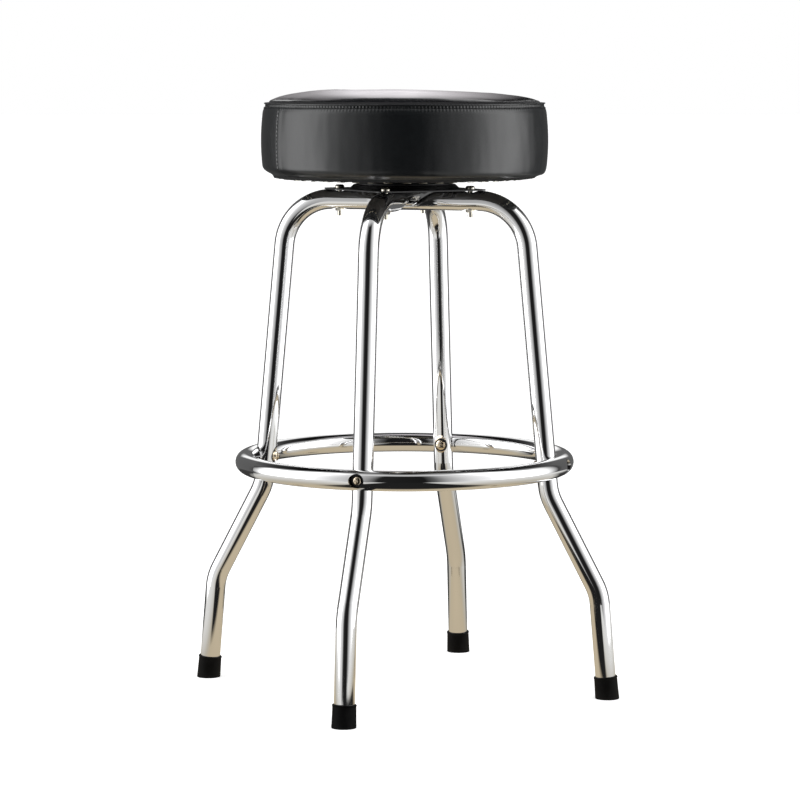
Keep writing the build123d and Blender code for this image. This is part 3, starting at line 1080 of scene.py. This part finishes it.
# The floor's painted glow in mirrors, a painted reflection, by shares of the paper's radius
floor_in_mirrors = (
    (0.0, (0.57, 0.48, 0.34)), (0.2, (0.53, 0.45, 0.32)), (0.29, (0.5, 0.46, 0.38)),
    (0.38, (0.6, 0.58, 0.53)), (0.55, (0.72, 0.71, 0.68)), (0.83, (0.8, 0.8, 0.78)),
    (1.0, (0.86, 0.86, 0.85)))


def floor():
    deselect()
    bpy.ops.mesh.primitive_circle_add(vertices=96, radius=floor_size, fill_type="NGON")
    ground = bpy.context.object
    ground.name = ground.data.name = "floor"
    finish = Finish("floor_paint", grey(0.8), 0.5)
    distance = finish.node("ShaderNodeVectorMath", {"operation": "LENGTH"}, {0: finish.place})
    distance = distance.out("Value")
    right, away, _ = finish.in_studio(finish.place)
    lane = right.size().short_of(lane_half_width, 0.08) * away.short_of(-0.12, 0.1)
    patch = away.past(0.3, 0.2) * right.short_of(0.9, 0.3)
    # Painted reflection: mirrors see the floor glow in these colours, with painted shade in a dark
    # lane towards the camera and in a dark patch behind the stool.
    painted_reflection = finish.tint(lane.larger(patch * 0.96),
                           finish.ramp(distance / paper_radius, floor_in_mirrors), grey(0.015))
    in_mirrors = finish.ray_is("Glossy")
    finish.set("Base Color", finish.tint(in_mirrors, grey(0.8), grey(0.0)))
    finish.set("Emission Color", finish.tint(
        in_mirrors, finish.tint(finish.ray_is("Camera"), grey(0.0), grey(floor_lift)), painted_reflection))
    finish.set("Emission Strength", 1.0)
    finish.set("Specular IOR Level", 0.0)
    outside = distance.past(paper_radius - paper_fade, paper_fade)
    finish.set("Alpha", 1 - in_mirrors * outside)
    finish.material.cycles.emission_sampling = "NONE"
    coat_with(ground, finish.material)


floor()

# %% Studio lights
card_foot = 0.13
card_foot_dimming = 0.6
card_strength = 1.5


def from_camera(right, away, up):
    """A place given to the right of the stool, away from the camera and up."""
    return (right * math.cos(view_turn) - away * math.sin(view_turn),
            right * math.sin(view_turn) + away * math.cos(view_turn), up)


def soft_box(name, place, aim, width, height, power):
    data = bpy.data.lights.new(name, "AREA")
    data.shape = "RECTANGLE"
    data.size = width
    data.size_y = height
    data.energy = power
    lamp = bpy.data.objects.new(name, data)
    bpy.context.scene.collection.objects.link(lamp)
    lamp.location = place
    lamp.rotation_euler = (Vector(aim) - Vector(place)).to_track_quat("-Z", "Y").to_euler()
    lamp.visible_glossy = False


def card_behind(left, right, bottom, top, away):
    """Lit card close behind the seat, seen only in its glossy top. It fades out at both sides."""
    edge = ((left, bottom), (right, bottom), (right, top[1]), (left, top[0]))
    corners = [from_camera(side, away, height) for side, height in edge]
    data = bpy.data.meshes.new("card")
    data.from_pydata(corners, [], [(0, 1, 2, 3)])
    card = bpy.data.objects.new("card", data)
    bpy.context.scene.collection.objects.link(card)
    finish = Finish("card_white", (0, 0, 0), 1.0)
    across = finish.in_studio(finish.place)[0]
    glow = finish.ramp((across - left) / (right - left), card_fade)
    dim_glow = finish.tint(card_foot_dimming, glow, grey(0.0))
    above_foot = finish.height_axis().past(bottom, card_foot)
    finish.set("Specular IOR Level", 0.0)
    finish.set("Emission Color", finish.tint(above_foot, dim_glow, glow))
    finish.set("Emission Strength", card_strength)
    finish.material.cycles.emission_sampling = "NONE"
    coat_with(card, finish.material)
    card.visible_camera = card.visible_diffuse = False
    card.visible_shadow = card.visible_transmission = False


lilac = (1.0, 0.96, 0.99)
glow_across = ((0.0, 0.0), (0.08, 0.26), (0.2, 0.4), (0.36, 0.92), (0.56, 1.0), (0.78, 0.4),
               (0.88, 0.15), (0.95, 0.0))
card_fade = [(share, tuple(c * value for c in lilac)) for share, value in glow_across]
card_behind(left=-0.22, right=0.2, bottom=0.735, top=(1.12, 0.98), away=0.33)

middle = (0, 0, 0.3)
soft_box("top_soft_box", from_camera(0.0, 0.3, 2.4), middle, width=1.8, height=1.8, power=20)

# %% Camera
camera_distance = 4.133
camera_height = 0.803
camera_lens = 147.74
camera_pitch = math.radians(6.0)
camera_pan = math.radians(0.08)

camera_data = bpy.data.cameras.new("camera")
camera_data.sensor_width = 36
camera_data.lens = camera_lens
camera = bpy.data.objects.new("camera", camera_data)
bpy.context.scene.collection.objects.link(camera)
camera.location = from_camera(0, -camera_distance, camera_height)
camera.rotation_euler = (math.pi / 2 - camera_pitch, 0, view_turn + camera_pan)
bpy.context.scene.camera = camera
bpy.context.scene.view_settings.view_transform = "Standard"
